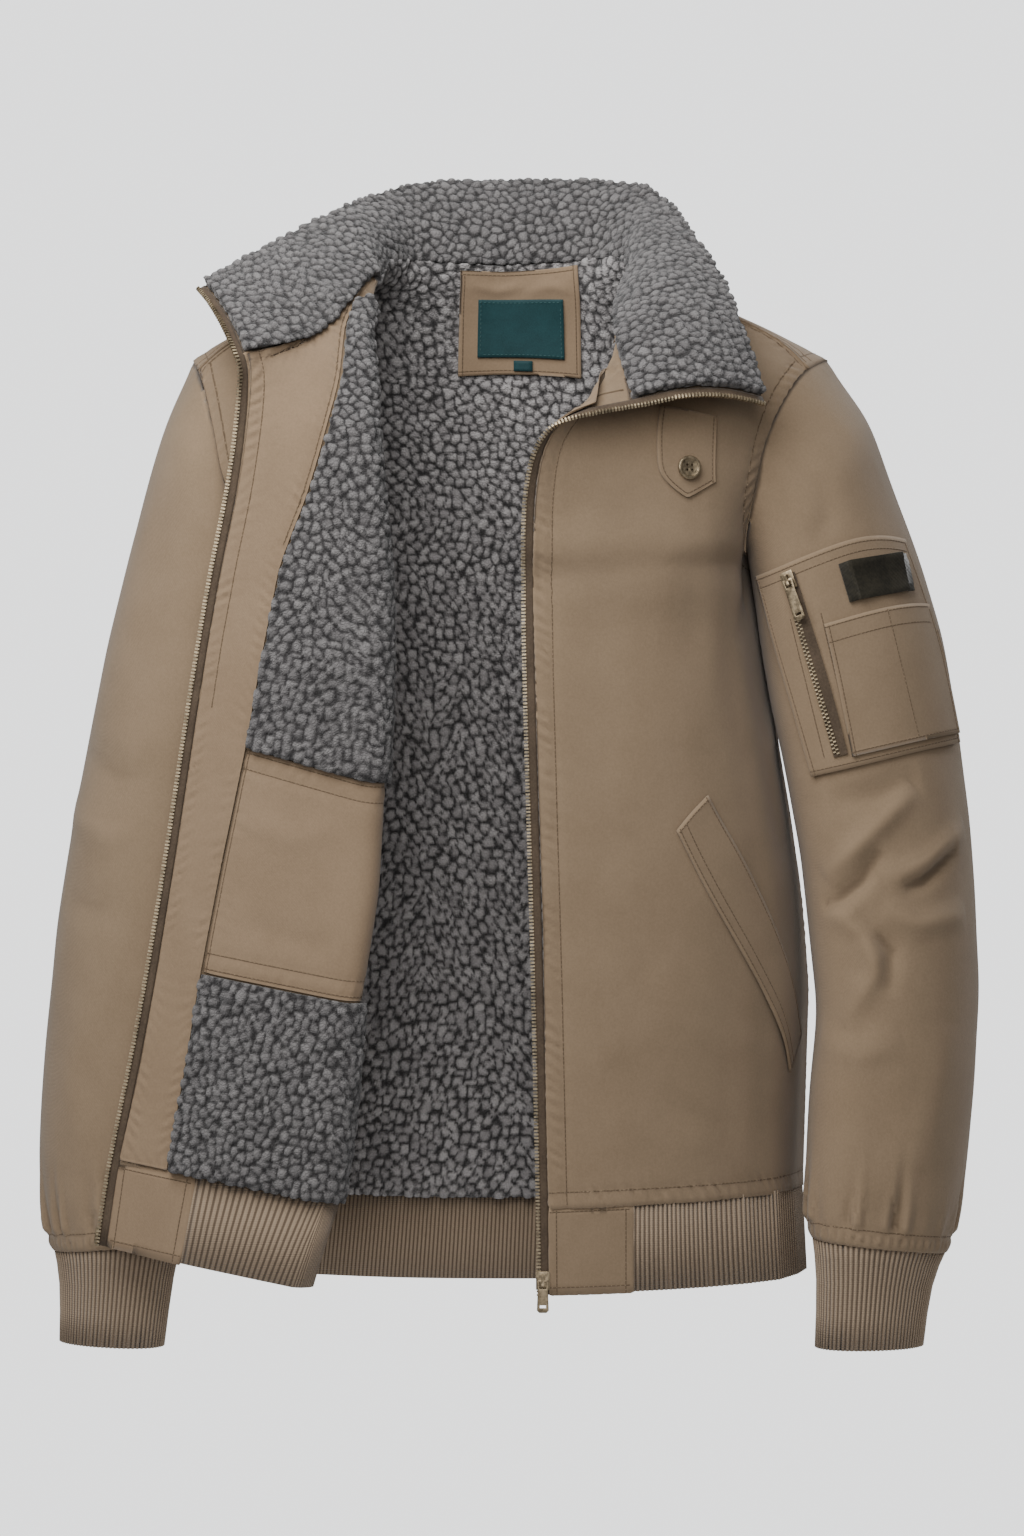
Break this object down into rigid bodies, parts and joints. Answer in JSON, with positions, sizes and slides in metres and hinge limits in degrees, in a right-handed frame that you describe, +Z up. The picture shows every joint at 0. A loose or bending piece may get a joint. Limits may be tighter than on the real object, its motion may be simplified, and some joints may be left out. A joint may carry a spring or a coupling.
{
  "type": "jacket",
  "caption": "Hollow bomber jacket of cotton twill with a curly pile lining and collar, one front folded open, ribbed hem and cuffs, front zip and a zipped sleeve pocket.",
  "frame": {"origin": "middle of the neck opening, level with the back neck seam", "axes": "+X to the wearer's left, +Y to the back, +Z up"},
  "size_m": [0.638, 0.2493, 0.7999],
  "materials": {
    "back": "matte cotton twill",
    "button_tab": "matte cotton twill",
    "collar_lining": "curly pile fleece",
    "collar_shell": "matte cotton twill",
    "cuff_left": "rib knit",
    "cuff_right": "rib knit",
    "facing_left": "matte cotton twill",
    "facing_right": "matte cotton twill",
    "front_left": "matte cotton twill",
    "front_right": "matte cotton twill",
    "hem_rib": "rib knit",
    "hem_tab_left": "matte cotton twill",
    "hem_tab_right": "matte cotton twill",
    "inner_pocket": "matte cotton twill",
    "lining_back": "curly pile fleece",
    "lining_right_lower": "curly pile fleece",
    "lining_right_upper": "curly pile fleece",
    "neck_label": "woven label",
    "neck_patch": "matte cotton twill",
    "neck_tag": "woven label",
    "sleeve_badge": "coated fabric",
    "sleeve_left": "matte cotton twill",
    "sleeve_panel": "matte cotton twill",
    "sleeve_pocket": "matte cotton twill",
    "sleeve_pull": "aged brass",
    "sleeve_right": "matte cotton twill",
    "sleeve_slider": "aged brass",
    "sleeve_zip_tape": "woven tape",
    "tab_button": "aged brass",
    "welt_left": "matte cotton twill",
    "welt_right": "matte cotton twill",
    "zip_pin": "aged brass",
    "zip_pull": "aged brass",
    "zip_slider": "aged brass",
    "zip_tape_left": "woven tape",
    "zip_tape_right": "woven tape"
  },
  "bodies": {
    "jacket": {"back": "back", "button_tab": "button_tab", "collar_lining": "collar_lining", "collar_shell": "collar_shell", "cuff_left": "cuff_left", "cuff_right": "cuff_right", "facing_left": "facing_left", "facing_right": "facing_right", "front_left": "front_left", "front_right": "front_right", "hem_rib": "hem_rib", "hem_tab_left": "hem_tab_left", "hem_tab_right": "hem_tab_right", "inner_pocket": "inner_pocket", "lining_back": "lining_back", "lining_right_lower": "lining_right_lower", "lining_right_upper": "lining_right_upper", "neck_label": "neck_label", "neck_patch": "neck_patch", "neck_tag": "neck_tag", "sleeve_badge": "sleeve_badge", "sleeve_left": "sleeve_left", "sleeve_panel": "sleeve_panel", "sleeve_pocket": "sleeve_pocket", "sleeve_right": "sleeve_right", "sleeve_slider": "sleeve_slider", "sleeve_zip_tape": "sleeve_zip_tape", "tab_button": "tab_button", "welt_left": "welt_left", "welt_right": "welt_right", "zip_pin": "zip_pin", "zip_slider": "zip_slider", "zip_tape_left": "zip_tape_left", "zip_tape_right": "zip_tape_right"},
    "zip_pull": {"zip_pull": "zip_pull"},
    "sleeve_pull": {"sleeve_pull": "sleeve_pull"}
  },
  "joints": [
    {"name": "zip_pull_swing", "type": "hinge", "parent": "jacket", "child": "zip_pull", "pos_m": [0.01483, -0.12377, -0.68546], "axis": [-1, 0, 0], "range_deg": [-2, 160]},
    {"name": "sleeve_pull_swing", "type": "hinge", "parent": "jacket", "child": "sleeve_pull", "pos_m": [0.17741, -0.07883, -0.22425], "axis": [-0.8595, 0.3797, -0.3422], "range_deg": [-2, 150]}
  ]
}
